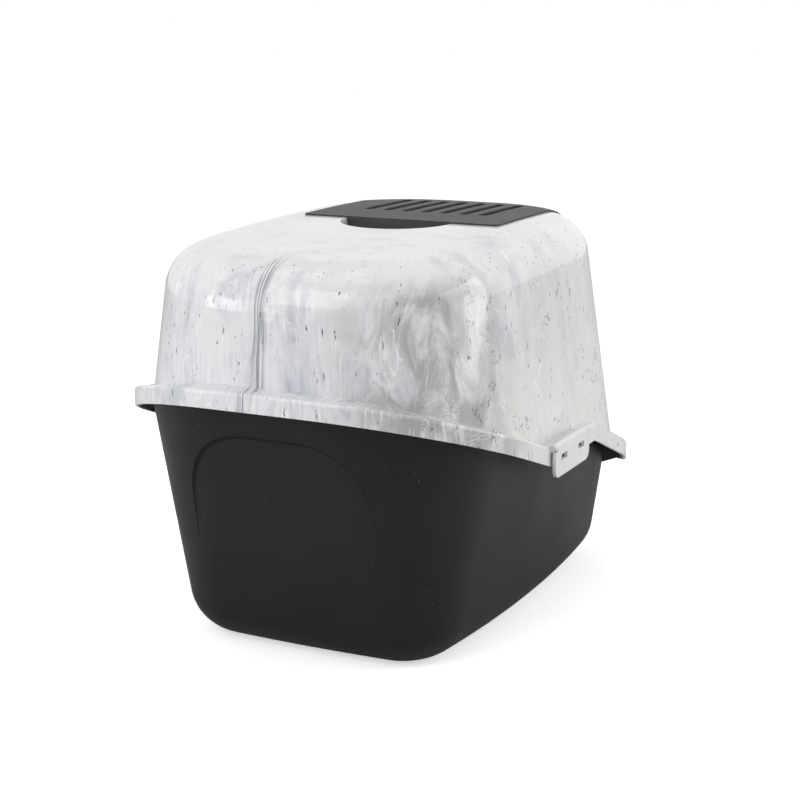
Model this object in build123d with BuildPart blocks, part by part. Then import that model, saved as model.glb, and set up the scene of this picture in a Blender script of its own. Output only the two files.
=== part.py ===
# Covered litter box: an open tray, a hood that sits on its rim, a slotted hatch over a
# carbon filter, a swinging door flap, and a swing latch on each long side.
# Millimetres. The origin is on the floor under the middle, +Z is up, the door faces -Y.

from build123d import *
import os
from math import atan2, cos, hypot, radians, sin, sqrt, tan

# Overall size, without the latches and the hatch's rise
total_length = 560.0
total_width = 390.0
total_height = 385.0

# Plastic thicknesses
tray_wall = 2.8
hood_wall = 2.6
hatch_wall = 3.0
flap_wall = 3.0
latch_wall = 3.2

# Clearances
seat_gap = 0.3
seam_gap = 0.7
running_gap = 0.05
knuckle_gap = 0.4
flap_gap = 2.5

# Flange around the hood, seen from above
flange_corner = 150.0
flange_bow = 10.0
flange_edge_round = 3.0
ledge_drop = 1.2
ledge_slope = 0.06

# Rim line seen from the side: the lower edge of the hood's skirt
skirt_height = 18.0
seat_height = 172.8
seat_rear = 64.0
seat_front = -50.0
rear_slope = 0.357
front_slope = 0.39
entry_height = 114.0
rim_bend = 14.0

# Tray walls at a reference height, inside the flange, and their flare with height
tray_reference = 215.0
tray_side_ledge = 15.3
tray_rear_ledge = 28.5
tray_front_ledge = 7.6
tray_side_flare = 0.157
tray_rear_flare = 0.232
tray_front_flare = 0.146
tray_corner = 117.5
tray_corner_flare = 0.303
tray_side_bow = 16.7
tray_end_bow = 7.1
tray_bottom_round = 48.0
tray_form_top = 290.0

# Tray rim, its stiffening gussets and the pressed arch in the rear wall
rim_inset = 0.8
gusset_wall = 2.0
gusset_pitch = 34.0
gusset_rise = 0.25
corner_gusset_drop = 0.26
corner_gusset_turn = 32.0
corner_gusset_wall = 3.0
arch_half_width = 100.0
arch_foot = 98.0
arch_top = 221.0
arch_shoulder = 72.0
arch_depth = 5.0
arch_slant = 48.0
foot_half_width = 80.0
foot_rear = 138.0
foot_front = -175.0
foot_corner = 30.0
foot_height = 1.2

# Hood walls at a reference height, inside the flange, and how they draw in with height
hood_reference = 200.0
hood_side_ledge = 14.4
hood_rear_ledge = 19.4
hood_front_ledge = 44.0
hood_side_draft = 0.135
hood_rear_draft = 0.041
hood_front_draft = 0.06
hood_rear_corner = 124.0
hood_front_corner = 136.0
hood_side_bow = 7.5
hood_end_bow = 9.3
hood_top_round = 45.0
hood_crown_radius = 4700.0
hood_crown_peak = -70.0
hood_form_foot = 100.0

# Hatch in the hood's top, with its air slots and the finger scoop behind it
hatch_half_width = 106.2
hatch_rear = -5.2
hatch_rise = 1.6
hatch_drop = 37.0
hatch_corner = 4.0
hatch_seat = 10.0
hatch_open_setback = 52.0
slot_count = 7
slot_pitch = 21.3
slot_width = 10.5
slot_length = 105.8
slot_inset = 57.5
scoop_radius = 57.0
scoop_depth = 24.0
scoop_lip = 9.0

# Filter pad in a cage of ribs under the hatch, held up by a clip-in grid
cage_inset = 18.8
cage_length = 146.0
cage_half_width = 80.0
cage_rib = 1.8
cage_drop = 22.4
filter_height = 8.0
grid_height = 2.0
grid_pitch = 20.0
grid_bar = 2.4
hook_length = 12.0
hook_reach = 1.2

# Hinges: hatch, door flap and latches
hatch_axis_out = 4.0
hatch_axis_drop = 1.0
hatch_knuckle_x = 32.0
hatch_knuckle_length = 12.0
hatch_lug_length = 5.0
hatch_barrel_radius = 3.5
hatch_pin_radius = 1.3
door_axis_drop = 24.0
door_stub_radius = 2.5
door_boss_radius = 6.0
door_stub_reach = 7.0

# Entrance in the hood's front wall
door_half_width = 95.0
door_sill = 150.0
door_top = 315.0
door_top_corner = 24.0
door_foot_corner = 18.0
collar_length = 28.0
flap_setback = 22.0
flap_grip_width = 60.0
flap_grip_height = 4.0

# Latches
latch_width = 90.0
latch_middle = 25.0
latch_axis_out = 1.0
latch_axis_up = 1.4
latch_barrel_radius = 3.5
latch_lug_length = 4.0
latch_pin_radius = 1.5
latch_foot = 163.0
latch_corner = 9.0
hook_gap = 0.6
hook_land = 1.3
hook_ramp = 4.5
latch_rib_height = 2.5
latch_rib_reach = 2.8
window_width = 15.0
window_height = 5.5
window_spacing = 45.0
window_middle_drop = 11.3

half_width = total_width / 2
half_length = total_length / 2
far = total_length
hood_front = hood_front_ledge - half_length
hatch_foot = total_height - hatch_drop
cage_foot = total_height - cage_drop
cage_rear = hatch_rear - cage_inset
cage_front = cage_rear - cage_length
hatch_open_front = hood_front + hatch_open_setback
collar_inner = hood_front + collar_length
flap_plane = hood_front + flap_setback


def plan_outline(height, half_wide, rear, front, rear_corner, front_corner, side_bow, end_bow):
    """A rounded rectangle with four bowed sides, drawn with eight tangent arcs."""
    middle = (rear + front) / 2
    half_long = (rear - front) / 2
    side_radius = (half_long**2 + side_bow**2) / (2 * side_bow)
    end_radius = (half_wide**2 + end_bow**2) / (2 * end_bow)
    side_x = half_wide - side_radius

    def corner(end, facing, radius):
        end_y = end - facing * end_radius
        run_x = -side_x
        run_y = end_y - middle
        run = hypot(run_x, run_y)
        along = ((side_radius - radius) ** 2 - (end_radius - radius) ** 2 + run**2) / (2 * run)
        across = sqrt((side_radius - radius) ** 2 - along**2)
        x = side_x + (along * run_x + across * abs(run_y)) / run
        y = middle + (along * run_y + facing * across * run_x) / run
        side_turn = atan2(y - middle, x - side_x)
        end_turn = atan2(y - end_y, x)
        turns = (side_turn, (side_turn + end_turn) / 2, end_turn)
        return [(x + radius * cos(turn), y + radius * sin(turn)) for turn in turns]

    def flip(point):
        return (-point[0], point[1])

    rear_side, rear_middle, rear_end = corner(rear, 1, rear_corner)
    front_side, front_middle, front_end = corner(front, -1, front_corner)
    arcs = [
        (front_side, (half_wide, middle), rear_side),
        (rear_side, rear_middle, rear_end),
        (rear_end, (0, rear), flip(rear_end)),
        (flip(rear_end), flip(rear_middle), flip(rear_side)),
        (flip(rear_side), (-half_wide, middle), flip(front_side)),
        (flip(front_side), flip(front_middle), flip(front_end)),
        (flip(front_end), (0, front), front_end),
        (front_end, front_middle, front_side),
    ]
    with BuildSketch(Plane.XY.offset(height)) as outline:
        with BuildLine():
            for start, through, end in arcs:
                ThreePointArc(start, through, end)
        make_face()
    return outline.sketch


def flange_outline(height, inset):
    return plan_outline(
        height,
        half_width - inset,
        half_length - inset,
        inset - half_length,
        flange_corner - inset,
        flange_corner - inset,
        flange_bow,
        flange_bow,
    )


def tray_outline(height, inset, rear_relief=0.0):
    rise = height - tray_reference
    corner = tray_corner + tray_corner_flare * rise - inset
    return plan_outline(
        height,
        half_width - tray_side_ledge + tray_side_flare * rise - inset,
        half_length - tray_rear_ledge + tray_rear_flare * rise - inset - rear_relief,
        tray_front_ledge - half_length - tray_front_flare * rise + inset,
        corner,
        corner,
        tray_side_bow,
        tray_end_bow,
    )


def hood_outline(height, inset):
    rise = height - hood_reference
    return plan_outline(
        height,
        half_width - hood_side_ledge - hood_side_draft * rise - inset,
        half_length - hood_rear_ledge - hood_rear_draft * rise - inset,
        hood_front + hood_front_draft * rise + inset,
        hood_rear_corner - inset,
        hood_front_corner - inset,
        hood_side_bow,
        hood_end_bow,
    )


def tray_form(inset):
    """The tray's flared body with its rounded bottom edge, drawn in by the inset."""
    with BuildPart() as form:
        loft([tray_outline(inset, inset), tray_outline(tray_form_top, inset)])
        fillet(form.faces().sort_by(Axis.Z)[0].edges(), tray_bottom_round - inset)
    return form.part


def hood_form(inset):
    """The hood's crowned body with its rounded top edge, drawn in by the inset."""
    crown_top = total_height - inset
    front_drop = (hood_crown_peak + half_length) ** 2 / (2 * hood_crown_radius)
    rear_drop = (half_length - hood_crown_peak) ** 2 / (2 * hood_crown_radius)
    with BuildPart() as form:
        loft([hood_outline(hood_form_foot, inset), hood_outline(total_height + far / 10, inset)])
        with BuildSketch(Plane.YZ):
            with BuildLine():
                crown = ThreePointArc(
                    (-half_length, crown_top - front_drop),
                    (hood_crown_peak, crown_top),
                    (half_length, crown_top - rear_drop),
                )
                Polyline(crown @ 1, (half_length, 0), (-half_length, 0), crown @ 0)
            make_face()
        extrude(amount=half_width, both=True, mode=Mode.INTERSECT)
        fillet(form.faces().sort_by(Axis.Z)[-1].edges(), hood_top_round - inset)
    return form.part


def rim_line(shift):
    """Points of the rim seen from the side, raised by the shift, front to rear."""
    slope_end = seat_front - (seat_height - entry_height) / front_slope
    rear_end = seat_height + rear_slope * (far - seat_rear)
    points = [
        (-far, entry_height),
        (slope_end, entry_height),
        (seat_front, seat_height),
        (seat_rear, seat_height),
        (far, rear_end),
    ]
    return [(y, z + shift) for y, z in points]


def rim_height(y):
    """Height of the skirt's lower edge at a place along the box."""
    points = rim_line(0)
    for (y0, z0), (y1, z1) in zip(points, points[1:]):
        if y <= y1:
            return z0 + (z1 - z0) * (y - y0) / (y1 - y0)


def rim_band(low, high):
    """Everything between the rim line moved by low and the rim line moved by high."""
    with BuildPart() as band:
        with BuildSketch(Plane.YZ):
            with BuildLine():
                lower = FilletPolyline(*rim_line(low), radius=rim_bend)
                upper = FilletPolyline(*rim_line(high), radius=rim_bend)
                Line(lower @ 0, upper @ 0)
                Line(lower @ 1, upper @ 1)
            make_face()
        extrude(amount=total_width, both=True)
    return band.part


def block(x0, x1, y0, y1, z0, z1):
    with BuildPart() as body:
        with Locations(((x0 + x1) / 2, (y0 + y1) / 2, (z0 + z1) / 2)):
            Box(x1 - x0, y1 - y0, z1 - z0)
    return body.part


def rod_x(start, end, y, z, radius):
    with BuildPart() as body:
        with BuildSketch(Plane((start, y, z), z_dir=(1, 0, 0))):
            Circle(radius)
        extrude(amount=end - start)
    return body.part


def rod_y(start, end, x, z, radius):
    with BuildPart() as body:
        with BuildSketch(Plane((x, start, z), z_dir=(0, 1, 0))):
            Circle(radius)
        extrude(amount=end - start)
    return body.part


def save(piece, name):
    piece.part.label = name
    export_step(piece.part, f"parts/{name}.step")


os.makedirs("parts", exist_ok=True)

# Tray
rim_top = skirt_height - hood_wall - seat_gap
rim_edge = hood_wall + rim_inset
lip_drop = rim_top - hook_gap


def arch_outline(depth, grow):
    """The pressed arch drawn on the leaning rear wall, at a depth into it, grown by a wall."""
    wall_y = half_length - tray_rear_ledge + tray_rear_flare * (arch_foot - tray_reference)
    wall = Plane((0, wall_y, arch_foot), x_dir=(1, 0, 0), z_dir=(0, -1, tray_rear_flare))
    with BuildSketch(wall.offset(depth)) as outline:
        with BuildLine():
            side = arch_half_width + grow
            top = (arch_top - arch_foot) * hypot(1, tray_rear_flare) + grow
            shoulder = arch_shoulder + grow
            right = Line((side, -grow), (side, top - shoulder))
            right_bend = JernArc(right @ 1, (0, 1), shoulder, 90)
            crown = Line(right_bend @ 1, (shoulder - side, top))
            left_bend = JernArc(crown @ 1, (-1, 0), shoulder, 90)
            Line(left_bend @ 1, (-side, -grow))
            Line((-side, -grow), (side, -grow))
        make_face()
    return outline.sketch


def arch_cut(grow):
    """What the pressed arch takes off the rear wall: nothing at its foot, most at its top."""
    lean = arch_depth / (arch_top - arch_foot)
    top_relief = lean * (tray_form_top - arch_foot)
    slant = tan(radians(arch_slant))
    side_grow = grow * hypot(1, slant)
    deep = arch_depth + tray_end_bow + grow
    with BuildPart() as kept:
        loft(
            [
                tray_outline(arch_foot - grow, grow, -lean * grow),
                tray_outline(tray_form_top, grow, top_relief),
            ]
        )
    with BuildPart() as cut:
        loft(
            [
                arch_outline(-arch_depth, side_grow + slant * arch_depth),
                arch_outline(deep, side_grow - slant * deep),
            ]
        )
        add(kept.part, mode=Mode.SUBTRACT)
    return cut.part


with BuildPart() as rim_hollow:
    extrude(flange_outline(0, rim_edge + tray_wall), amount=total_height)
    add(rim_band(-far, rim_top - tray_wall), mode=Mode.INTERSECT)

with BuildPart() as tray_rim:
    extrude(flange_outline(0, rim_edge), amount=total_height)
    add(rim_band(rim_top - lip_drop, rim_top), mode=Mode.INTERSECT)
    add(rim_hollow.part, mode=Mode.SUBTRACT)

lip = flange_outline(0, rim_edge + tray_wall).faces()[0].outer_wire()
gusset_count = 2 * round(lip.length / gusset_pitch / 2)


def gusset(share, rise, wall):
    """A stiffening plate across the rim, at a share of the way round it."""
    place = lip.position_at(share)
    along = lip.tangent_at(share)
    inward = Vector(-along.Y, along.X, 0)
    if inward.dot(place) > 0:
        inward = inward * -1
    foot = rim_height(place.Y) + hook_gap
    reach = half_width / 2
    across = Plane(place, x_dir=inward, z_dir=inward.cross(Vector(0, 0, 1)))
    with BuildPart() as plate:
        with BuildSketch(across):
            Polygon(
                (-tray_wall / 2, foot),
                (0, foot),
                (reach, foot + rise * reach),
                (reach, foot + rim_top + reach),
                (-tray_wall / 2, foot + rim_top),
                align=None,
            )
        extrude(amount=wall / 2, both=True)
    return plate.part


def corner_shares():
    """Where the four corner gussets stand: on the flange's corners, turned towards the sides."""
    turn = radians(corner_gusset_turn)
    middle_x = half_width - flange_corner
    middle_y = half_length - flange_corner
    shares = []
    for side in (-1, 1):
        for end in (-1, 1):
            x = side * (middle_x + flange_corner * cos(turn))
            y = end * (middle_y + flange_corner * sin(turn))
            shares.append(lip.param_at_point(lip.closest_points((x, y, 0))[0]))
    return shares


gusset_shares = [(number + 0.5) / gusset_count for number in range(gusset_count)]
plates = [gusset(share, gusset_rise, gusset_wall) for share in gusset_shares]
plates += [gusset(share, -corner_gusset_drop, corner_gusset_wall) for share in corner_shares()]

with BuildPart() as gussets:
    add(plates)
    add(rim_band(-far, rim_top - tray_wall / 2), mode=Mode.INTERSECT)

with BuildPart() as tray_inside:
    add(tray_form(tray_wall))
    add(arch_cut(tray_wall), mode=Mode.SUBTRACT)

with BuildPart() as tray:
    add(tray_form(0))
    add(arch_cut(0), mode=Mode.SUBTRACT)
    add(rim_band(rim_top, far), mode=Mode.SUBTRACT)
    add([tray_rim.part, gussets.part])
    add(tray_inside.part, mode=Mode.SUBTRACT)
    with BuildSketch():
        with Locations((0, (foot_rear + foot_front) / 2)):
            RectangleRounded(2 * foot_half_width, foot_rear - foot_front, foot_corner)
    extrude(amount=foot_height, mode=Mode.SUBTRACT)
save(tray, "tray")

# Hood
seat_depth = hatch_wall - hatch_rise + seat_gap
hatch_axis_z = hatch_foot - hatch_axis_drop
hatch_wall_y = hood_front + hood_front_draft * (hatch_axis_z - hood_reference)
hatch_axis_y = hatch_wall_y - hatch_rise - hatch_axis_out
door_axis_z = door_top - door_axis_drop
door_shoulder = sqrt(door_top_corner**2 - max(0, door_top_corner - door_axis_drop) ** 2)
door_axis_reach = door_half_width - door_top_corner + door_shoulder
latch_axis_x = half_width + latch_axis_out
latch_axis_z = seat_height + skirt_height + latch_axis_up
latch_rear = latch_middle + latch_width / 2
latch_front = latch_middle - latch_width / 2
hood_outside = hood_form(0)
hood_inside = hood_form(hood_wall)


def hatch_block(grow):
    """The hatch's outline from above, grown by a gap, from its foot up."""
    side = hatch_half_width + grow
    with BuildPart() as body:
        with BuildSketch(Plane.XY.offset(hatch_foot - grow)) as outline:
            with Locations((0, hatch_rear + grow - half_length / 2)):
                Rectangle(2 * side, half_length)
            fillet(outline.vertices().group_by(Axis.Y)[-1], hatch_corner + grow)
        extrude(amount=total_height)
    return body.part


def scoop_block(grow):
    """The half-round finger scoop behind the hatch, open towards the filter."""
    with BuildPart() as body:
        with BuildSketch(Plane.XY.offset(total_height - scoop_depth - grow)):
            with Locations((0, hatch_rear)):
                Circle(scoop_radius + grow)
            with Locations((0, hatch_rear - far / 2)):
                Rectangle(far, far, mode=Mode.SUBTRACT)
            with Locations((0, hatch_rear - hatch_seat / 2)):
                Rectangle(2 * (scoop_radius + grow), hatch_seat)
        extrude(amount=total_height)
    return body.part


def entry_block(grow, rear):
    """The arched entrance, grown or drawn in, from the given place forwards."""
    with BuildPart() as body:
        with BuildSketch(Plane.XZ.offset(-rear)) as outline:
            with Locations((0, (door_top + door_sill) / 2)):
                Rectangle(2 * (door_half_width + grow), door_top - door_sill + 2 * grow)
            fillet(outline.vertices().group_by(Axis.Y)[-1], door_top_corner + grow)
            fillet(outline.vertices().group_by(Axis.Y)[0], door_foot_corner + grow)
        extrude(amount=far)
    return body.part


with BuildPart() as flange_hollow:
    extrude(flange_outline(0, hood_wall), amount=total_height)
    add(rim_band(-far, skirt_height - hood_wall), mode=Mode.INTERSECT)

with BuildPart() as flange_body:
    extrude(flange_outline(0, 0), amount=total_height)
    add(rim_band(0, skirt_height), mode=Mode.INTERSECT)
    top_faces = flange_body.faces().filter_by(lambda face: face.normal_at().Z > 0.5)
    ledge_path = Wire(top_faces.sort_by(Axis.Y)[-1].edges().filter_by(Axis.X, reverse=True))
    fillet(top_faces.edges().filter_by(Axis.X, reverse=True), flange_edge_round)

# The flange's top at the rear: nearly level from its edge in to the hood's wall
ledge_along = Vector((ledge_path % 0).X, (ledge_path % 0).Y, 0).normalized()
ledge_inward = Vector(-ledge_along.Y, ledge_along.X, 0)
if ledge_inward.dot(ledge_path @ 0) > 0:
    ledge_inward = ledge_inward * -1

with BuildPart() as flange_ledge:
    ledge_plane = Plane(
        ledge_path @ 0, x_dir=ledge_inward, z_dir=ledge_inward.cross(Vector(0, 0, 1))
    )
    with BuildSketch(ledge_plane):
        Polygon(
            (flange_edge_round, -skirt_height),
            (flange_edge_round + hood_rear_ledge, -skirt_height),
            (flange_edge_round + hood_rear_ledge, ledge_slope * hood_rear_ledge - ledge_drop),
            (flange_edge_round, -ledge_drop),
            align=None,
        )
    sweep(path=ledge_path, binormal=ledge_path.moved(Location((0, 0, total_height))))

with BuildPart() as flange:
    add([flange_body.part, flange_ledge.part])
    add(flange_hollow.part, mode=Mode.SUBTRACT)
    add(hood_inside, mode=Mode.SUBTRACT)

with BuildPart() as hatch_seat_frame:
    add(hood_outside)
    add(hood_form(seat_depth + hood_wall), mode=Mode.SUBTRACT)
    add(hatch_block(seam_gap + hood_wall), mode=Mode.INTERSECT)

with BuildPart() as hatch_room:
    add(hatch_block(seam_gap))
    add(hood_form(seat_depth), mode=Mode.SUBTRACT)

with BuildPart() as scoop_wall:
    add(scoop_block(hood_wall))
    add(hood_outside, mode=Mode.INTERSECT)

with BuildPart() as collar:
    add(entry_block(hood_wall, collar_inner))
    add(hood_outside, mode=Mode.INTERSECT)
    for side in (-1, 1):
        add(
            rod_x(
                side * door_axis_reach - door_stub_reach - hood_wall,
                side * door_axis_reach + door_stub_reach + hood_wall,
                flap_plane,
                door_axis_z,
                door_boss_radius,
            )
        )

with BuildPart() as filter_opening:
    with BuildSketch(Plane.XY.offset(hatch_foot - hatch_seat)):
        with Locations((0, (hatch_rear - hatch_seat + hatch_open_front) / 2)):
            RectangleRounded(
                2 * (hatch_half_width - hatch_seat),
                hatch_rear - hatch_seat - hatch_open_front,
                hatch_corner,
            )
    extrude(amount=total_height)

# Room for each latch's barrel in the edge of the flange
latch_notches = [
    rod_y(
        latch_front + latch_lug_length,
        latch_rear - latch_lug_length,
        side * latch_axis_x,
        latch_axis_z,
        latch_barrel_radius + knuckle_gap,
    )
    for side in (-1, 1)
]

# Lugs that carry the pins of the hatch and of the latches
hinge_lugs = []
for side in (-1, 1):
    for turn in (-1, 1):
        near = side * hatch_knuckle_x + turn * (hatch_knuckle_length / 2 + knuckle_gap)
        span = sorted((near, near + turn * hatch_lug_length))
        web_rear = hatch_wall_y + 2 * hood_wall
        web_foot = hatch_axis_z - 2 * hatch_barrel_radius
        hinge_lugs.append(rod_x(*span, hatch_axis_y, hatch_axis_z, hatch_barrel_radius))
        hinge_lugs.append(block(*span, hatch_axis_y, web_rear, web_foot, hatch_axis_z - seam_gap))
    for start in (latch_front, latch_rear - latch_lug_length):
        end = start + latch_lug_length
        hinge_lugs.append(
            rod_y(start, end, side * latch_axis_x, latch_axis_z, latch_barrel_radius)
        )

# Bores for the pins of the hatch and the latches, and for the stubs of the door flap
hatch_pin_reach = hatch_knuckle_length / 2 + knuckle_gap + hatch_lug_length
stub_end = door_axis_reach + door_stub_reach
stub_bore = door_stub_radius + running_gap
hinge_bores = [
    rod_x(-stub_end - seat_gap, stub_end + seat_gap, flap_plane, door_axis_z, stub_bore)
]
for side in (-1, 1):
    middle = side * hatch_knuckle_x
    bore = hatch_pin_radius + running_gap
    span = (middle - hatch_pin_reach, middle + hatch_pin_reach)
    hinge_bores.append(rod_x(*span, hatch_axis_y, hatch_axis_z, bore))
    bore = latch_pin_radius + running_gap
    hinge_bores.append(
        rod_y(latch_front, latch_rear, side * latch_axis_x, latch_axis_z, bore)
    )

with BuildPart() as hood:
    add(hood_outside)
    add([rim_band(-far, skirt_height - hood_wall / 2), hood_inside], mode=Mode.SUBTRACT)
    add([flange.part, hatch_seat_frame.part, scoop_wall.part, collar.part])
    add(
        [
            hatch_room.part,
            filter_opening.part,
            scoop_block(0),
            entry_block(0, collar_inner + hood_wall),
            *latch_notches,
        ],
        mode=Mode.SUBTRACT,
    )
    add(hinge_lugs)
    add(hinge_bores, mode=Mode.SUBTRACT)
save(hood, "hood")

# Hatch with its air slots, lifting lip, filter cage and hinge barrels
with BuildPart() as filter_cage:
    with BuildSketch(Plane.XY.offset(cage_foot)):
        with Locations((0, (cage_rear + cage_front) / 2)):
            Rectangle(
                2 * (cage_half_width + cage_rib), cage_rear - cage_front + 2 * cage_rib
            )
            Rectangle(2 * cage_half_width, cage_rear - cage_front, mode=Mode.SUBTRACT)
    extrude(amount=total_height)
    add(hood_form(hatch_wall / 2 - hatch_rise), mode=Mode.INTERSECT)

with BuildPart() as vent_hatch:
    add(hood_form(-hatch_rise))
    add(hood_form(hatch_wall - hatch_rise), mode=Mode.SUBTRACT)
    add(hatch_block(0), mode=Mode.INTERSECT)
    add(filter_cage.part)
    add(
        block(
            -scoop_radius + 2 * seam_gap,
            scoop_radius - 2 * seam_gap,
            hatch_rear - hatch_wall,
            hatch_rear,
            total_height + hatch_rise - hatch_wall - scoop_lip,
            total_height + hatch_rise - hatch_wall / 2,
        )
    )
    for side in (-1, 1):
        for end in (cage_rear, cage_front):
            inward = -1 if end == cage_rear else 1
            add(
                block(
                    side * cage_half_width / 2 - hook_length / 2,
                    side * cage_half_width / 2 + hook_length / 2,
                    min(end, end + inward * hook_reach),
                    max(end, end + inward * hook_reach),
                    cage_foot,
                    cage_foot + hook_reach,
                )
            )
        knuckle = (
            side * hatch_knuckle_x - hatch_knuckle_length / 2,
            side * hatch_knuckle_x + hatch_knuckle_length / 2,
        )
        add(rod_x(*knuckle, hatch_axis_y, hatch_axis_z, hatch_barrel_radius))
        add(
            block(
                *knuckle,
                hatch_axis_y,
                hatch_wall_y + hatch_wall - hatch_rise - seat_gap,
                hatch_foot,
                hatch_axis_z + hatch_barrel_radius,
            )
        )
        add(
            rod_x(*knuckle, hatch_axis_y, hatch_axis_z, hatch_pin_radius + running_gap),
            mode=Mode.SUBTRACT,
        )
    with BuildSketch(Plane.XY.offset(cage_foot + filter_height)):
        with Locations((0, hatch_rear - slot_inset - slot_length / 2)):
            with GridLocations(slot_pitch, 0, slot_count, 1):
                SlotOverall(slot_length, slot_width, rotation=90)
    extrude(amount=total_height, mode=Mode.SUBTRACT)
save(vent_hatch, "vent_hatch")

# Carbon filter pad and the grid that holds it up in the cage
grid_foot = cage_foot + hook_reach + seat_gap
filter_foot = grid_foot + grid_height + seat_gap
pad_width = 2 * (cage_half_width - seat_gap)
pad_length = cage_length - 2 * seat_gap
cage_middle = (cage_rear + cage_front) / 2

with BuildPart() as filter_grid:
    with BuildSketch(Plane.XY.offset(grid_foot)):
        with Locations((0, cage_middle)):
            Rectangle(pad_width, pad_length)
            across = int((pad_width - grid_pitch / 2) / grid_pitch)
            along = int((pad_length - grid_pitch / 2) / grid_pitch)
            with GridLocations(grid_pitch, grid_pitch, across, along):
                Rectangle(grid_pitch - grid_bar, grid_pitch - grid_bar, mode=Mode.SUBTRACT)
    extrude(amount=grid_height)
save(filter_grid, "filter_grid")

with BuildPart() as carbon_filter:
    with BuildSketch(Plane.XY.offset(filter_foot)):
        with Locations((0, cage_middle)):
            RectangleRounded(pad_width, pad_length, hatch_corner)
    extrude(amount=filter_height)
save(carbon_filter, "carbon_filter")

for side, name in ((-1, "hatch_pin_left"), (1, "hatch_pin_right")):
    with BuildPart() as hatch_pin:
        add(
            rod_x(
                side * hatch_knuckle_x - hatch_pin_reach,
                side * hatch_knuckle_x + hatch_pin_reach,
                hatch_axis_y,
                hatch_axis_z,
                hatch_pin_radius,
            )
        )
    save(hatch_pin, name)

# Door flap
with BuildPart() as door_flap:
    add(entry_block(-flap_gap, flap_plane + flap_wall / 2))
    split(bisect_by=Plane.XZ.offset(flap_wall / 2 - flap_plane), keep=Keep.BOTTOM)
    add(rod_x(-stub_end, stub_end, flap_plane, door_axis_z, door_stub_radius))
    add(
        block(
            -flap_grip_width / 2,
            flap_grip_width / 2,
            flap_plane - flap_wall,
            flap_plane + flap_wall,
            door_sill + flap_gap,
            door_sill + flap_gap + flap_grip_height,
        )
    )
save(door_flap, "door_flap")

# Latches and their pins
rim_lip_x = half_width - rim_edge
plate_outer = latch_axis_x + latch_barrel_radius
plate_inner = plate_outer - latch_wall
barrel_front = latch_front + latch_lug_length + knuckle_gap
barrel_rear = latch_rear - latch_lug_length - knuckle_gap
window_top = latch_axis_z - window_middle_drop + window_height / 2
hook_top = seat_height - hook_gap

with BuildPart() as latch_right:
    with BuildSketch(Plane.YZ.offset(plate_inner)) as plate:
        with Locations((latch_middle, (latch_foot + latch_axis_z) / 2)):
            Rectangle(latch_width, latch_axis_z - latch_foot)
        fillet(plate.vertices().group_by(Axis.Y)[0], latch_corner)
        with Locations((latch_middle, window_top - window_height / 2)):
            with GridLocations(window_spacing, 0, 2, 1):
                Rectangle(window_width, window_height, mode=Mode.SUBTRACT)
    extrude(amount=latch_wall)
    for start, end in ((latch_front, barrel_front), (barrel_rear, latch_rear)):
        add(
            block(
                plate_inner,
                plate_outer,
                start,
                end,
                latch_axis_z - latch_barrel_radius - knuckle_gap,
                latch_axis_z,
            ),
            mode=Mode.SUBTRACT,
        )
    add(rod_y(barrel_front, barrel_rear, latch_axis_x, latch_axis_z, latch_barrel_radius))
    add(
        rod_y(
            barrel_front, barrel_rear, latch_axis_x, latch_axis_z, latch_pin_radius + running_gap
        ),
        mode=Mode.SUBTRACT,
    )
    add(
        block(
            plate_inner - latch_rib_reach,
            plate_inner,
            latch_front + latch_corner,
            latch_rear - latch_corner,
            latch_foot,
            latch_foot + latch_rib_height,
        )
    )
    for offset in (-window_spacing / 2, window_spacing / 2):
        with BuildSketch(Plane.XZ.offset(-latch_middle - offset)):
            Polygon(
                (plate_inner, hook_top),
                (rim_lip_x + seat_gap, hook_top),
                (rim_lip_x + seat_gap, hook_top - hook_land),
                (plate_inner, hook_top - hook_land - hook_ramp),
                align=None,
            )
        extrude(amount=window_width / 2, both=True)
save(latch_right, "latch_right")

with BuildPart() as latch_left:
    add(mirror(latch_right.part, about=Plane.YZ, mode=Mode.PRIVATE))
save(latch_left, "latch_left")

for side, name in ((-1, "latch_pin_left"), (1, "latch_pin_right")):
    with BuildPart() as latch_pin:
        add(
            rod_y(
                latch_front, latch_rear, side * latch_axis_x, latch_axis_z, latch_pin_radius
            )
        )
    save(latch_pin, name)
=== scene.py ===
from math import cos, pi, radians, sqrt
import bpy
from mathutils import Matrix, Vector, noise


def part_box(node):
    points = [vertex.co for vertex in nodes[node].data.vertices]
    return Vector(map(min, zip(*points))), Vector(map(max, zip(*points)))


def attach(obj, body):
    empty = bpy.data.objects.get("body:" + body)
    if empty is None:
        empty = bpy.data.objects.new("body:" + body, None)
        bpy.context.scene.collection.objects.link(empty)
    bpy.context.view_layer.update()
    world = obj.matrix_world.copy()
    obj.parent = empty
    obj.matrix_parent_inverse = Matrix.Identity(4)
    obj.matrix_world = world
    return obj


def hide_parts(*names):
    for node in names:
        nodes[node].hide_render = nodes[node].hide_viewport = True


# Covered litter box of moulded polypropylene: tray, hood, hatch over a carbon pad, flap, latches.
# Metres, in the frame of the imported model: the entrance faces -Y, the pressed arch is at +Y.
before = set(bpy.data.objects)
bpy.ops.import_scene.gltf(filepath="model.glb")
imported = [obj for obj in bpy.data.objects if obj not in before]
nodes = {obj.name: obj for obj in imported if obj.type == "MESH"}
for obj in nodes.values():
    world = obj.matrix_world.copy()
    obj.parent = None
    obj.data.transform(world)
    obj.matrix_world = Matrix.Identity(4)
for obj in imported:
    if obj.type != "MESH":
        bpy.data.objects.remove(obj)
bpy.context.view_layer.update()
print("frame loaded:", len(nodes), "nodes")


def colourOf(hexColour):  # sRGB hex to linear RGBA
    parts = [int(hexColour[i:i + 2], 16) / 255 for i in (1, 3, 5)]
    return [p / 12.92 if p <= 0.04045 else ((p + 0.055) / 1.055) ** 2.4 for p in parts] + [1.0]


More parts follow.
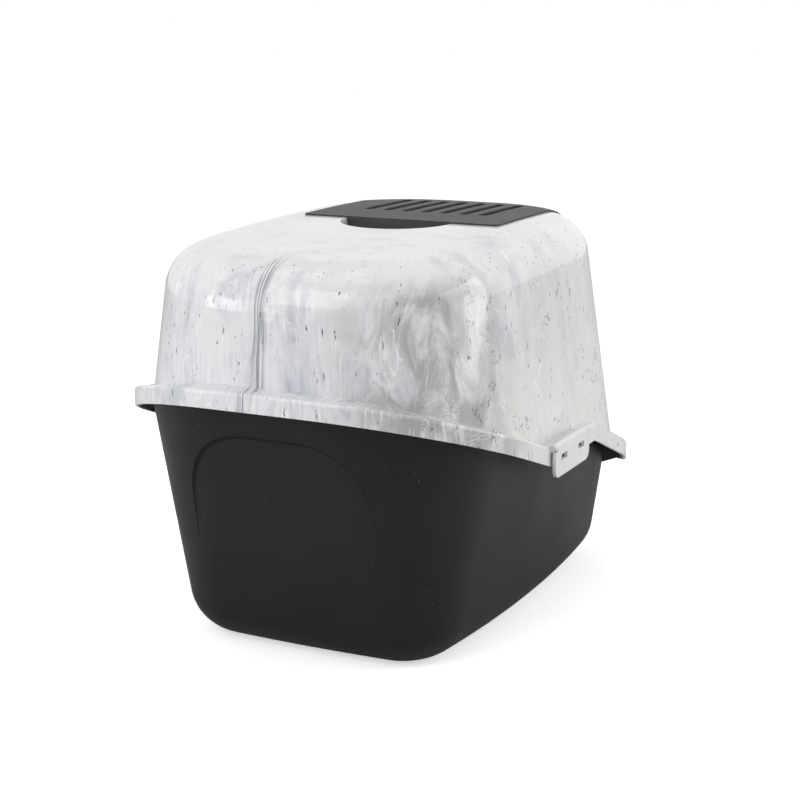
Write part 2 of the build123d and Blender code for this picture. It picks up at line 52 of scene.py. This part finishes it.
def perMm(size):  # texture scale that draws a feature of this size in millimetres
    return 1000.0 / size


def addNode(tree, kind, settings={}, links={}):  # one node with its settings and its links
    node = tree.nodes.new("ShaderNode" + kind)
    for name, value in settings.items():
        if hasattr(node, str(name)):
            setattr(node, name, value)
        else:
            node.inputs[name].default_value = value
    for name, source in links.items():
        tree.links.new(source.outputs[0] if hasattr(source, "outputs") else source, node.inputs[name])
    return node


# Settings that many nodes share: a product, and a range that eases in and out
product = {"operation": "MULTIPLY"}
eased = {"interpolation_type": "SMOOTHSTEP"}


def newMaterial(name, look):  # a Principled material with its fixed values on their own sockets
    material = bpy.data.materials.new(name)
    material.use_nodes = True
    shader = material.node_tree.nodes["Principled BSDF"]
    for socket in ("IOR", "Specular IOR Level", "Roughness"):
        if socket in look:
            shader.inputs[socket].default_value = look[socket]
    return material, material.node_tree, shader


# Marble-effect polypropylene, injection moulded in a polished mould: white melt with bluish grey
# and black masterbatch that the flow has drawn out, so clouds and wisps with fine streaks down the
# rear wall, where the melt ran straight, curls on the long sides, and swarms of short dark unmixed
# dashes and specks, all under the even gloss of the mould.
marble = {
    "IOR": 1.49,
    "Roughness": 0.12,
    "white": "#e6e6e9",
    # painted light: a paler white that brightens the top
    "paintedTopLight": "#efefef",
    "cloud": "#c4c7cf",
    "smoke": "#9ca2b0",
    # painted shade: a warm grey that darkens the long sides
    "paintedSideShade": "#dededa",
    # painted shade: an olive grey that darkens the corner between the rear and the side
    "paintedCornerShade": "#a9aba8",
    "cream": "#f7f7f5",
    "ink": "#33353d",
    "grey": "#6d717c",
    "swirlMm": 190,  # how the flow swings the whole pattern about
    "swirlBy": 0.055,
    "raggedMm": 3.2,  # what tears the outlines of the dashes
    "raggedBy": 0.0034,
    "fieldRoughness": 0.64,
    "rearFrom": 0.175,  # along Y, where the straight flow of the rear wall begins
    "rearFull": 0.235,
    "topFrom": 0.345,  # along Z, where the walls bend over into the top
    "topFull": 0.378,
    "cornerShadeAt": (-0.150, 0.215),  # along X and Y, the corner between the rear and the side, darkened by a painted shade
    "cornerShadeReach": 0.125,
    "cornerShadeFull": 0.02,
    "seamAt": 0.006,  # along X, where two flow fronts met on the rear wall
    "seamHalf": 0.010,
    "seamFull": 0.003,
    "seamWanderMm": 70,
    "seamWanderBy": 0.02,
    "edgeRadius": 0.0007,  # the small round that every moulded edge has
    "waveMm": 85,  # shrinkage waves that show in the reflections alone
    "waveDepth": 0.0012,
    "waveStrength": 0.25,
}
# Each kind of mark: its colour and kind, its size or spacing in mm, the stretch along X Y Z, the
# lean in degrees, the noise or distance range that shows, its strength, the patches it keeps to
# (size, from, to) and its region. First the clouds and streaks in the melt, and the painted shade
# of the long sides and the corner and the painted light of the top.
meltMarks = [
    {"colour": "cloud", "mm": 46, "stretch": (1, 1, 0.35), "span": (0.45, 0.66), "strength": 0.85},
    {
        "colour": "smoke", "mm": 13, "stretch": (1, 0.8, 0.35), "lean": 10,
        "span": (0.52, 0.78), "strength": 0.65, "patch": (60, 0.46, 0.60),
    },
    {
        "colour": "cream", "mm": 17, "stretch": (1, 1, 0.45), "lean": -8,
        "span": (0.54, 0.70), "strength": 0.65,
    },
    # painted shade: a broad warm grey that darkens the long sides
    {"colour": "paintedSideShade", "mm": 110, "span": (0.30, 0.62), "strength": 0.85, "region": "side"},
    # painted shade: an olive grey cloud that darkens the corner between the rear and the side
    {
        "colour": "paintedCornerShade", "mm": 34, "stretch": (1, 1, 0.6),
        "span": (0.34, 0.58), "strength": 0.95, "region": "corner",
    },
    {
        "colour": "smoke", "mm": 2.2, "stretch": (1, 0.08, 0.05), "lean": 4, "detail": 2, "swirled": 0.3,
        "span": (0.46, 0.76), "strength": 0.42, "patch": (42, 0.40, 0.62), "region": "rear",
    },
    {
        "colour": "cream", "mm": 1.7, "stretch": (1, 0.05, 0.03), "detail": 2, "swirled": 0,
        "span": (0.54, 0.72), "strength": 0.70, "patch": (34, 0.42, 0.60), "region": "rear",
    },
    {
        "colour": "smoke", "mm": 3.0, "stretch": (0.06, 1, 0.06), "lean": 62, "detail": 3, "swirled": 0.4,
        "span": (0.56, 0.80), "strength": 0.40, "patch": (50, 0.46, 0.60), "region": "side",
    },
    # painted light: a paler white that brightens the top
    {"colour": "paintedTopLight", "mm": 90, "span": (0.30, 0.62), "strength": 0.80, "region": "top"},
]
# Then the thin lines, and the dashes and specks of masterbatch that never mixed
unmixedMarks = [
    {
        "colour": "cream", "kind": "line", "mm": 46, "stretch": (1, 1, 0.7), "lean": 24,
        "detail": 2, "swirled": 1.0,
        "span": (0.008, 0.003), "strength": 0.6, "patch": (60, 0.50, 0.56), "region": "side",
    },
    {
        "colour": "cream", "kind": "line", "mm": 34, "stretch": (1, 1, 0.30), "lean": -5,
        "detail": 2, "swirled": 0.6,
        "span": (0.008, 0.003), "strength": 0.6, "patch": (50, 0.54, 0.60), "region": "rear",
    },
    {
        "colour": "ink", "kind": "dash", "mm": 5.0, "stretch": (1, 1, 0.16), "lean": 8, "share": 0.80,
        "span": (0.18, 0.07), "strength": 0.92, "patch": (52, 0.42, 0.52),
    },
    {
        "colour": "ink", "kind": "dash", "mm": 3.6, "stretch": (1, 1, 0.5), "lean": -20, "share": 0.5,
        "span": (0.16, 0.07), "strength": 0.75, "patch": (40, 0.48, 0.56),
    },
    {
        "colour": "ink", "kind": "dash", "mm": 8.0, "stretch": (1, 1, 0.09), "lean": 3, "share": 0.75,
        "span": (0.10, 0.03), "strength": 0.72, "patch": (60, 0.45, 0.54), "region": "side",
    },
    {
        "colour": "ink", "kind": "line", "mm": 16, "stretch": (1, 1, 0.7), "lean": 35,
        "detail": 4, "swirled": 1.4,
        "span": (0.014, 0.004), "strength": 0.85, "patch": (44, 0.60, 0.65), "region": "side",
    },
    {
        "colour": "grey", "mm": 1.5, "stretch": (1, 0.02, 0.008), "detail": 2, "swirled": 0,
        "span": (0.45, 0.62), "strength": 0.72, "region": "seam",
    },
    {
        "colour": "ink", "kind": "dash", "mm": 3.4, "stretch": (1, 0.2, 0.06), "share": 0.8,
        "span": (0.22, 0.10), "strength": 0.75, "patch": (24, 0.42, 0.52), "region": "seam",
    },
]


def jitter(tree, place, size, by):  # moves a place about by noise of this size
    drift = addNode(tree, "TexNoise", {"Scale": perMm(size), "Detail": 2.0}, {"Vector": place})
    middle = {"operation": "SUBTRACT", 1: (0.5, 0.5, 0.5)}
    swing = addNode(tree, "VectorMath", middle, {0: drift.outputs["Color"]})
    swing = addNode(tree, "VectorMath", {"operation": "SCALE", "Scale": by}, {0: swing})
    return addNode(tree, "VectorMath", {"operation": "ADD"}, {0: place, 1: swing})


def marbleRegions(tree, place, look):  # how far each spot lies in each part of the hood
    axes = addNode(tree, "SeparateXYZ", {}, {0: place})
    rearRange = {**eased, 1: look["rearFrom"], 2: look["rearFull"]}
    rear = addNode(tree, "MapRange", rearRange, {0: axes.outputs["Y"]})
    topRange = {**eased, 1: look["topFrom"], 2: look["topFull"]}
    top = addNode(tree, "MapRange", topRange, {0: axes.outputs["Z"]})
    notRear = addNode(tree, "Math", {"operation": "SUBTRACT", 0: 1.0}, {1: rear})
    notTop = addNode(tree, "Math", {"operation": "SUBTRACT", 0: 1.0}, {1: top})
    side = addNode(tree, "Math", product, {0: notRear, 1: notTop})

    by = look["seamWanderBy"]
    slow = {"Scale": perMm(look["seamWanderMm"]), "Detail": 1.0}
    drift = addNode(tree, "TexNoise", slow, {"Vector": place})
    centred = {"operation": "MULTIPLY_ADD", 1: by, 2: -by / 2 - look["seamAt"]}
    wander = addNode(tree, "Math", centred, {0: drift})
    offSeam = addNode(tree, "Math", {"operation": "ADD"}, {0: axes.outputs["X"], 1: wander})
    offSeam = addNode(tree, "Math", {"operation": "ABSOLUTE"}, {0: offSeam})
    seamRange = {**eased, 1: look["seamHalf"], 2: look["seamFull"]}
    seamLine = addNode(tree, "MapRange", seamRange, {0: offSeam})
    seam = addNode(tree, "Math", product, {0: seamLine, 1: rear})

    # the corner between the rear and the side, where a painted shade darkens the wall
    flattened = addNode(tree, "VectorMath", {"operation": "MULTIPLY", 1: (1, 1, 0)}, {0: place})
    fromCornerShade = {"operation": "DISTANCE", 1: (*look["cornerShadeAt"], 0)}
    away = addNode(tree, "VectorMath", fromCornerShade, {0: flattened}).outputs["Value"]
    cornerShadeRange = {**eased, 1: look["cornerShadeReach"], 2: look["cornerShadeFull"]}
    inCornerShade = addNode(tree, "MapRange", cornerShadeRange, {0: away})
    corner = addNode(tree, "Math", product, {0: inCornerShade, 1: notTop})
    return {"rear": rear, "side": side, "top": top, "seam": seam, "corner": corner}


def markAmount(tree, look, mark, flow, ragged, number):  # how strongly one kind of mark shows
    drawnOut = {
        "Location": (number, 2 * number, 0),  # metres apart, so each kind has a pattern of its own
        "Rotation": (radians(mark.get("lean", 0)), 0, 0),
        "Scale": mark.get("stretch", (1, 1, 1)),
    }
    low, high = mark["span"]
    shown = {**eased, 1: low, 2: high, 4: mark["strength"]}
    if mark.get("kind") == "dash":  # specks strewn in the melt and drawn out by it
        spot = addNode(tree, "Mapping", drawnOut, {"Vector": ragged})
        strewn = addNode(tree, "TexVoronoi", {"Scale": perMm(mark["mm"])}, {"Vector": spot})
        chosen = addNode(tree, "SeparateColor", {}, {0: strewn.outputs["Color"]})
        chosen = addNode(tree, "Math", {"operation": "LESS_THAN", 1: mark["share"]}, {0: chosen})
        dash = addNode(tree, "MapRange", shown, {0: strewn.outputs["Distance"]})
        amount = addNode(tree, "Math", product, {0: dash, 1: chosen})
    else:
        cloudy = {
            "Scale": perMm(mark["mm"]),
            "Detail": mark.get("detail", 7),
            "Roughness": look["fieldRoughness"],
            "Distortion": mark.get("swirled", 0.9),
        }
        spot = addNode(tree, "Mapping", drawnOut, {"Vector": flow})
        field = addNode(tree, "TexNoise", cloudy, {"Vector": spot})
        if mark.get("kind") == "line":  # the thin line where the noise crosses its middle
            field = addNode(tree, "Math", {"operation": "SUBTRACT", 1: 0.5}, {0: field})
            field = addNode(tree, "Math", {"operation": "ABSOLUTE"}, {0: field})
        amount = addNode(tree, "MapRange", shown, {0: field})
    if "patch" in mark:
        size, low, high = mark["patch"]
        patchy = {"Scale": perMm(size), "Detail": 3.0, "Distortion": 0.1 * number}  # its own patches
        cover = addNode(tree, "TexNoise", patchy, {"Vector": flow})
        cover = addNode(tree, "MapRange", {**eased, 1: low, 2: high}, {0: cover})
        amount = addNode(tree, "Math", product, {0: amount, 1: cover})
    return amount


def marblePlastic(look):
    material, tree, shader = newMaterial("marbledPolypropyleneGlossMoulded", look)
    place = addNode(tree, "TexCoord").outputs["Object"]
    flow = jitter(tree, place, look["swirlMm"], look["swirlBy"])
    ragged = jitter(tree, flow, look["raggedMm"], look["raggedBy"])
    regions = marbleRegions(tree, place, look)
    colour = None
    for number, mark in enumerate(meltMarks + unmixedMarks):
        amount = markAmount(tree, look, mark, flow, ragged, number)
        if "region" in mark:
            amount = addNode(tree, "Math", product, {0: amount, 1: regions[mark["region"]]})
        tint = {"data_type": "RGBA", 7: colourOf(look[mark["colour"]])}
        mixed = addNode(tree, "Mix", tint, {0: amount})
        if colour:
            tree.links.new(colour, mixed.inputs[6])
        else:
            mixed.inputs[6].default_value = colourOf(look["white"])
        colour = mixed.outputs[2]
    tree.links.new(colour, shader.inputs["Base Color"])

    edge = addNode(tree, "Bevel", {"samples": 4, "Radius": look["edgeRadius"]})
    slow = {"Scale": perMm(look["waveMm"]), "Detail": 1.0}
    waves = addNode(tree, "TexNoise", slow, {"Vector": place})
    relief = {"Strength": look["waveStrength"], "Distance": look["waveDepth"]}
    bump = addNode(tree, "Bump", relief, {"Height": waves, "Normal": edge})
    tree.links.new(bump.outputs[0], shader.inputs["Normal"])
    return material


# Anthracite polypropylene, moulded against a spark-eroded mould: carbon black makes it nearly
# black, the eroded grain scatters its reflections to a soft satin or, on the hatch, to a matt
# that greys where it is seen along the surface, and a few pale specks of dust and scuff show.
anthracite = {
    "IOR": 1.49,
    "driftMm": 140,  # how slowly the body colour drifts to its paler shade
    "driftSpan": (0.35, 0.65),
    "speckColour": "#9a9a98",
    "speckMm": 2.2,
    "speckSpan": (0.77, 0.80),
    "polishMm": 70,  # patches where the mould is worn smoother
    "polishSpan": (0.3, 0.7),
    "edgeRadius": 0.0008,
    "grainDepth": 0.0002,
}
trayLook = {
    **anthracite,
    "colour": "#161719",
    "pale": "#1c1d1f",
    "Specular IOR Level": 0.28,
    "satin": (0.40, 0.50),
    "grainMm": 1.1,  # really 0.2 mm, drawn coarser so that it shows
    "grainStrength": 0.22,
    "speckStrength": 0.30,
}
hatchLook = {
    **anthracite,
    "colour": "#343230",
    "pale": "#3c3a37",
    "Specular IOR Level": 0.40,
    "satin": (0.52, 0.60),
    "grainMm": 1.3,  # really 0.3 mm, drawn coarser so that it shows
    "grainStrength": 0.45,
    "speckStrength": 0.12,
}


def darkPlastic(name, look):
    material, tree, shader = newMaterial(name, look)
    place = addNode(tree, "TexCoord").outputs["Object"]
    low, high = look["driftSpan"]
    drift = addNode(tree, "TexNoise", {"Scale": perMm(look["driftMm"]), "Detail": 3.0}, {"Vector": place})
    drift = addNode(tree, "MapRange", {1: low, 2: high}, {0: drift})
    shades = {"data_type": "RGBA", 6: colourOf(look["colour"]), 7: colourOf(look["pale"])}
    body = addNode(tree, "Mix", shades, {0: drift})
    low, high = look["speckSpan"]
    specks = addNode(tree, "TexNoise", {"Scale": perMm(look["speckMm"]), "Detail": 1.0}, {"Vector": place})
    specks = addNode(tree, "MapRange", {1: low, 2: high, 4: look["speckStrength"]}, {0: specks})
    tint = {"data_type": "RGBA", 7: colourOf(look["speckColour"])}
    speckled = addNode(tree, "Mix", tint, {0: specks, 6: body.outputs[2]})
    tree.links.new(speckled.outputs[2], shader.inputs["Base Color"])

    low, high = look["polishSpan"]
    smooth, rough = look["satin"]
    polish = addNode(tree, "TexNoise", {"Scale": perMm(look["polishMm"]), "Detail": 4.0}, {"Vector": place})
    polish = addNode(tree, "MapRange", {1: low, 2: high, 3: smooth, 4: rough}, {0: polish})
    tree.links.new(polish.outputs[0], shader.inputs["Roughness"])

    edge = addNode(tree, "Bevel", {"samples": 4, "Radius": look["edgeRadius"]})
    grit = {"Scale": perMm(look["grainMm"]), "Detail": 2.0, "Roughness": 0.6}
    grain = addNode(tree, "TexNoise", grit, {"Vector": place})
    relief = {"Strength": look["grainStrength"], "Distance": look["grainDepth"]}
    bump = addNode(tree, "Bump", relief, {"Height": grain, "Normal": edge})
    tree.links.new(bump.outputs[0], shader.inputs["Normal"])
    return material


# White-grey polypropylene of the latches, moulded with a light satin: an even pale body with a
# faint cool drift, so its form shows by its rounded edges alone
latchLook = {
    "colour": "#e3e4e6",
    "shade": "#d9dbde",
    "IOR": 1.49,
    "Roughness": 0.30,
    "driftMm": 30,
    "driftSpan": (0.35, 0.65),
    "edgeRadius": 0.0012,
    "grainMm": 1.4,  # really 0.2 mm, drawn coarser so that it shows
    "grainDepth": 0.0002,
    "grainStrength": 0.10,
}


def palePlastic(look):
    material, tree, shader = newMaterial("palePolypropyleneSatinMoulded", look)
    place = addNode(tree, "TexCoord").outputs["Object"]
    low, high = look["driftSpan"]
    drift = addNode(tree, "TexNoise", {"Scale": perMm(look["driftMm"]), "Detail": 4.0}, {"Vector": place})
    drift = addNode(tree, "MapRange", {1: low, 2: high}, {0: drift})
    shades = {"data_type": "RGBA", 6: colourOf(look["colour"]), 7: colourOf(look["shade"])}
    body = addNode(tree, "Mix", shades, {0: drift})
    tree.links.new(body.outputs[2], shader.inputs["Base Color"])
    edge = addNode(tree, "Bevel", {"samples": 6, "Radius": look["edgeRadius"]})
    grain = addNode(tree, "TexNoise", {"Scale": perMm(look["grainMm"]), "Detail": 2.0}, {"Vector": place})
    relief = {"Strength": look["grainStrength"], "Distance": look["grainDepth"]}
    bump = addNode(tree, "Bump", relief, {"Height": grain, "Normal": edge})
    tree.links.new(bump.outputs[0], shader.inputs["Normal"])
    return material


# Needled polyester fleece loaded with active carbon: matt, nearly black, with crossing fibres
# that catch a little grey
fleeceLook = {
    "deep": "#0e0e0f",
    "fibre": "#34343a",
    "Roughness": 0.95,
    "fibreMm": 1.5,  # really 0.03 mm, drawn coarser so that it shows
    "fibreSpan": (0.4, 0.75),
    "fibreStretch": (1, 0.3, 1),
    "fibreDepth": 0.0008,
    "fibreStrength": 0.8,
}


def carbonFleece(look):
    material, tree, shader = newMaterial("activeCarbonNeedledFleece", look)
    place = addNode(tree, "TexCoord").outputs["Object"]
    low, high = look["fibreSpan"]
    laid = addNode(tree, "Mapping", {"Scale": look["fibreStretch"]}, {"Vector": place})
    felted = {"Scale": perMm(look["fibreMm"]), "Detail": 4.0, "Roughness": 0.7, "Distortion": 1.5}
    fibres = addNode(tree, "TexNoise", felted, {"Vector": laid})
    strands = addNode(tree, "MapRange", {1: low, 2: high}, {0: fibres})
    shades = {"data_type": "RGBA", 6: colourOf(look["deep"]), 7: colourOf(look["fibre"])}
    body = addNode(tree, "Mix", shades, {0: strands})
    tree.links.new(body.outputs[2], shader.inputs["Base Color"])
    relief = {"Strength": look["fibreStrength"], "Distance": look["fibreDepth"]}
    bump = addNode(tree, "Bump", relief, {"Height": fibres})
    tree.links.new(bump.outputs[0], shader.inputs["Normal"])
    return material


hoodPlastic = marblePlastic(marble)
trayPlastic = darkPlastic("anthracitePolypropyleneSatinMoulded", trayLook)
hatchPlastic = darkPlastic("anthracitePolypropyleneMattMoulded", hatchLook)
latchPlastic = palePlastic(latchLook)
finishes = {
    "tray": trayPlastic,
    "hood": hoodPlastic,
    "vent_hatch": hatchPlastic,
    "filter_grid": hatchPlastic,
    "hatch_pin_left": hatchPlastic,
    "hatch_pin_right": hatchPlastic,
    "door_flap": trayPlastic,
    "latch_left": latchPlastic,
    "latch_right": latchPlastic,
    "latch_pin_left": latchPlastic,
    "latch_pin_right": latchPlastic,
}
for node, finish in finishes.items():
    for materialSlot in nodes[node].material_slots:
        materialSlot.material = finish
print("finishes given:", len(finishes), "nodes")

# Carbon pad: a soft slab that sags a little between the bars of the grid it lies on
padShape = {
    "step": 0.0035,  # between rows of points
    "edge": 0.0035,  # how far in the rounded edge reaches
    "edgeRows": 5,
    "corner": 0.010,
    "puff": 0.0007,  # how unevenly thick the fleece is
    "puffsPerMetre": 45,
    "gridPitch": 0.020,
    "barDent": 0.0005,
    "barSharpness": 4,
    "weldWithin": 0.00001,
}


def padLines(half, shape):  # where the rows of points lie, closer together at the edge
    quarter = pi / 2 / shape["edgeRows"]
    rim = [half - shape["edge"] * (1 - cos(quarter * k)) for k in range(shape["edgeRows"])]
    inner = half - shape["edge"]
    count = round(2 * inner / shape["step"])
    flat = [inner - 2 * inner * k / count for k in range(count + 1)]
    return rim + flat + [-value for value in reversed(rim)]


def padPoint(x, y, up, half, shape):  # one point of the top or the bottom, from the pad's middle
    inset = min(half.x - abs(x), half.y - abs(y), shape["edge"]) / shape["edge"]
    profile = sqrt(max(0.0, 1 - (1 - inset) ** 2))
    cornerX = abs(x) - half.x + shape["corner"]
    cornerY = abs(y) - half.y + shape["corner"]
    if cornerX > 0 and cornerY > 0:  # draw the square corner in to a round one
        pull = max(cornerX, cornerY) / sqrt(cornerX**2 + cornerY**2)
        x = (half.x - shape["corner"] + cornerX * pull) * (1 if x > 0 else -1)
        y = (half.y - shape["corner"] + cornerY * pull) * (1 if y > 0 else -1)
    thin = shape["puff"] * (0.5 + 0.5 * noise.noise(Vector((x, y, up)) * shape["puffsPerMetre"]))
    if up < 0:
        bar = max(cos(2 * pi * x / shape["gridPitch"]), cos(2 * pi * y / shape["gridPitch"]))
        thin += shape["barDent"] * max(0.0, bar) ** shape["barSharpness"]
    return x, y, up * profile * (half.z - thin)


def carbonPad(shape):
    low, high = [Vector(corner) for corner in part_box("carbon_filter")]
    middle, half = (low + high) / 2, (high - low) / 2
    columns, rows = padLines(half.x, shape), padLines(half.y, shape)
    points, faces = [], []
    for up in (1, -1):
        for x in columns:
            for y in rows:
                px, py, pz = padPoint(x, y, up, half, shape)
                points.append((middle.x + px, middle.y + py, middle.z + pz))
    across, total = len(rows), len(columns) * len(rows)
    for sheet in (0, total):
        for i in range(len(columns) - 1):
            for j in range(across - 1):
                corner = sheet + i * across + j
                quad = (corner, corner + across, corner + across + 1, corner + 1)
                faces.append(quad if sheet else quad[::-1])
    mesh = bpy.data.meshes.new("carbon_pad")
    mesh.from_pydata(points, [], faces)
    pad = bpy.data.objects.new("carbon_pad", mesh)
    bpy.context.scene.collection.objects.link(pad)
    bpy.context.view_layer.objects.active = pad
    weld = pad.modifiers.new("weld", "WELD")  # closes the two sheets along their shared edge
    weld.merge_threshold = shape["weldWithin"]
    mesh.polygons.foreach_set("use_smooth", [True] * len(mesh.polygons))
    mesh.materials.append(carbonFleece(fleeceLook))
    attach(pad, "hatch")
    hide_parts("carbon_filter")


carbonPad(padShape)
print("carbon pad made")

# Floor, light and camera
studio = {
    "floorSize": 16,
    "floorColour": "#d6d6d6",
    "floorSeen": "#ffffff",  # to the camera, which sees it overexposed
    "floorLift": 0.52,  # what only the camera sees, so that the floor reads white
    "skyStrength": 0.50,
    "softboxes": [  # name, place, target, width and height, power
        ("keySoftbox", (0.45, 2.2, 1.6), (0, 0, 0.2), (1.5, 1.5), 19.0),
        ("sideSoftbox", (-2.0, -1.0, 0.9), (0, 0, 0.22), (2.0, 1.4), 26.0),
        ("topSoftbox", (0.2, 0.2, 2.2), (0, 0, 0.2), (1.4, 1.4), 4.0),
        ("lowSoftbox", (1.2, 1.45, 0.5), (0.15, 0.3, 0.2), (0.7, 0.6), 5.0),
    ],
    "cameraPlace": (-0.74696, 1.51145, 0.59432),
    "cameraFacing": (0.42948, -0.87445, -0.22556),
    "cameraLens": 77.33,
    "cameraSensor": 36.0,
}


def makeFloor():
    bpy.ops.mesh.primitive_plane_add(size=studio["floorSize"], location=(0, 0, 0))
    floor = bpy.context.object
    floor.name = "floor"
    paper = {"Roughness": 1.0, "Specular IOR Level": 0.0}
    material, tree, shader = newMaterial("paleMattPaper", paper)
    shader.inputs["Emission Color"].default_value = (1, 1, 1, 1)
    cameraRay = addNode(tree, "LightPath").outputs["Is Camera Ray"]
    shades = {"data_type": "RGBA", 6: colourOf(studio["floorColour"]), 7: colourOf(studio["floorSeen"])}
    seen = addNode(tree, "Mix", shades, {0: cameraRay})
    tree.links.new(seen.outputs[2], shader.inputs["Base Color"])
    lift = addNode(tree, "Math", {**product, 1: studio["floorLift"]}, {0: cameraRay})
    tree.links.new(lift.outputs[0], shader.inputs["Emission Strength"])
    floor.data.materials.append(material)


def makeWorld():
    world = bpy.data.worlds.new("studio")
    bpy.context.scene.world = world
    world.use_nodes = True
    tree = world.node_tree
    sky = tree.nodes["Background"]
    sky.inputs["Color"].default_value = (1, 1, 1, 1)
    rays = addNode(tree, "LightPath")
    seen = {0: rays.outputs["Is Camera Ray"], 1: rays.outputs["Is Glossy Ray"]}
    white = addNode(tree, "Math", {"operation": "MAXIMUM"}, seen)
    strength = addNode(tree, "MapRange", {3: studio["skyStrength"], 4: 1.0}, {0: white})
    tree.links.new(strength.outputs[0], sky.inputs["Strength"])


def makeSoftbox(name, place, target, size, power):
    data = bpy.data.lights.new(name, "AREA")
    data.shape = "RECTANGLE"
    data.size, data.size_y = size
    data.energy = power
    lamp = bpy.data.objects.new(name, data)
    bpy.context.scene.collection.objects.link(lamp)
    lamp.location = place
    lamp.rotation_euler = (Vector(target) - Vector(place)).to_track_quat("-Z", "Y").to_euler()


def makeCamera():
    data = bpy.data.cameras.new("camera")
    data.sensor_width = studio["cameraSensor"]
    data.lens = studio["cameraLens"]
    camera = bpy.data.objects.new("camera", data)
    bpy.context.scene.collection.objects.link(camera)
    camera.location = studio["cameraPlace"]
    camera.rotation_euler = Vector(studio["cameraFacing"]).to_track_quat("-Z", "Y").to_euler()
    bpy.context.scene.camera = camera


makeFloor()
makeWorld()
for softbox in studio["softboxes"]:
    makeSoftbox(*softbox)
makeCamera()
bpy.context.scene.view_settings.view_transform = "Standard"
print("floor, light and camera set")
